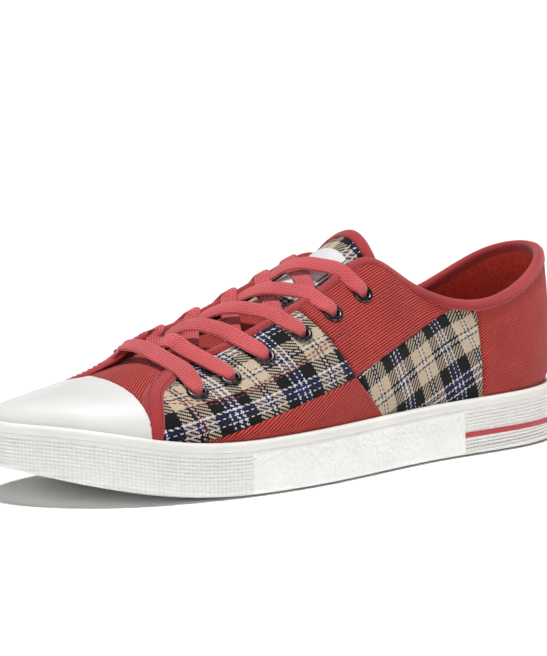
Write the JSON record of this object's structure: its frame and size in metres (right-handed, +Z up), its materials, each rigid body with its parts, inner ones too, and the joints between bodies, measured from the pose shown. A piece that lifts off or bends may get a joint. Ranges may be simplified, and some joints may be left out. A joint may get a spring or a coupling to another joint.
{
  "type": "low-top canvas sneaker",
  "caption": "Left low-top patchwork canvas sneaker with a white rubber toe cap, a textured rubber sole wall, flat laces in metal eyelets and a bound open collar.",
  "frame": {"origin": "under the middle of the sole, on the plane that the heel and the forefoot stand on", "axes": "+Y from the toe to the heel, +X to the outer side of the foot, +Z up"},
  "size_m": [0.1082, 0.292, 0.0995],
  "materials": {
    "white_rubber": "vulcanised off-white rubber, smooth on the toe cap, fine knurl and leather grain on the wall",
    "filler_board": "pressed cork and fibre filler",
    "red_canvas": "ribbed cotton canvas, matt",
    "plaid_canvas": "2/2 twill check in cream, black, navy and white yarn",
    "red_binding": "flat plain-weave cotton tape",
    "red_lining": "plain-weave cotton lining",
    "red_lace": "flat tubular woven cotton lace",
    "stitch_thread": "polyester sewing thread",
    "white_label": "blank woven satin label",
    "red_rubber": "red rubber stripe with the wall's knurl",
    "eyelet_metal": "polished gunmetal plating"
  },
  "bodies": {
    "root": {"outsole": "white_rubber", "midsole": "filler_board", "foxing": "white_rubber", "toe_cap": "white_rubber", "upper": "red_canvas", "tongue": "red_canvas", "insole": "red_lining", "lace": "red_lace", "eyelet_lateral_1": "eyelet_metal", "eyelet_lateral_2": "eyelet_metal", "eyelet_lateral_3": "eyelet_metal", "eyelet_lateral_4": "eyelet_metal", "eyelet_lateral_5": "eyelet_metal", "eyelet_lateral_6": "eyelet_metal", "eyelet_medial_1": "eyelet_metal", "eyelet_medial_2": "eyelet_metal", "eyelet_medial_3": "eyelet_metal", "eyelet_medial_4": "eyelet_metal", "eyelet_medial_5": "eyelet_metal", "eyelet_medial_6": "eyelet_metal"}
  },
  "joints": []
}
